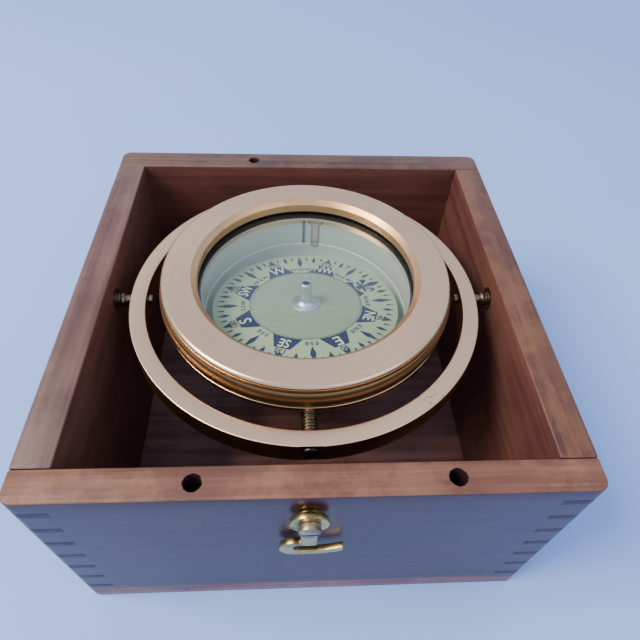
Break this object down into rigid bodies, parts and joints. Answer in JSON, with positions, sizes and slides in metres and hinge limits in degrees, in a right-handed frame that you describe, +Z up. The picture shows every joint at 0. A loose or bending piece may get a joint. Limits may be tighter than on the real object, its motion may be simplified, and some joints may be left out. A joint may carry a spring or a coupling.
{
  "type": "boxed ship compass",
  "caption": "Open wooden box with a brass gimbal ring that holds a brass bowl compass level, with a printed card under glass and a hook catch on the front.",
  "frame": {"origin": "centre of the base board's underside", "axes": "+X to the right seen from the hook side, +Y to the back, +Z up; the gimbal ring swings about X and the bowl about Y"},
  "size_m": [0.19, 0.1928, 0.1038],
  "materials": {
    "wood": "varnished hardwood, worn on the rim",
    "brass_satin": "turned and brushed, with bright edges",
    "brass_polished": "polished",
    "brass_dark": "polished, toned brown",
    "brass_screws": "turned",
    "bright_steel": "turned",
    "bronze_sheet": "pressed sheet",
    "ballast_metal": "as cast",
    "hub_metal": "turned",
    "black_rubber": "matte",
    "black_paint": "matte",
    "clear_glass": "clear",
    "card_face": "printed",
    "dark_jewel": "polished"
  },
  "bodies": {
    "box": {"front_wall": "wood", "back_wall": "wood", "left_wall": "wood", "right_wall": "wood", "base_board": "wood", "base_screws": "brass_screws", "left_pivot_bush": "brass_screws", "right_pivot_bush": "brass_screws", "left_pivot_screw": "brass_screws", "right_pivot_screw": "brass_screws", "hook_washer": "brass_polished", "hook_screw": "bright_steel"},
    "hook": {"catch_hook": "brass_polished"},
    "ring": {"gimbal_ring": "brass_satin", "front_pivot_screw": "brass_dark", "rear_pivot_screw": "brass_dark"},
    "bowl": {"bowl_body": "brass_dark", "bezel_ring": "brass_satin", "bezel_screws": "brass_screws", "flange_gasket": "black_rubber", "glass_seal": "black_rubber", "glass": "clear_glass", "glass_gasket": "black_rubber", "lubber_line": "black_paint", "filler_plug": "brass_screws", "filler_washer": "black_rubber", "pivot_post": "brass_screws", "pivot_point": "bright_steel", "diaphragm": "bronze_sheet", "clamp_ring": "brass_dark", "bottom_cover": "brass_dark", "cover_screws": "brass_screws", "ballast_weight": "ballast_metal"},
    "card": {"compass_card": "card_face", "card_hub": "hub_metal", "jewel_cap": "dark_jewel", "float_dome": "bronze_sheet", "float_plate": "bronze_sheet", "magnet_carrier": "bronze_sheet", "magnets": "bright_steel", "hub_nut": "brass_screws"}
  },
  "joints": [
    {"name": "ring_swing", "type": "hinge", "parent": "box", "child": "ring", "pos_m": [0, 0, 0.0853], "axis": [1, 0, 0], "continuous": true},
    {"name": "bowl_swing", "type": "hinge", "parent": "ring", "child": "bowl", "pos_m": [0, 0, 0.0853], "axis": [0, 1, 0], "continuous": true},
    {"name": "card_turn", "type": "hinge", "parent": "bowl", "child": "card", "pos_m": [0, 0, 0.0933], "axis": [0, 0.1908, 0.9816], "continuous": true},
    {"name": "hook_swing", "type": "hinge", "parent": "box", "child": "hook", "pos_m": [-0.001, -0.09565, 0.0857], "axis": [0, -1, 0], "continuous": true}
  ]
}
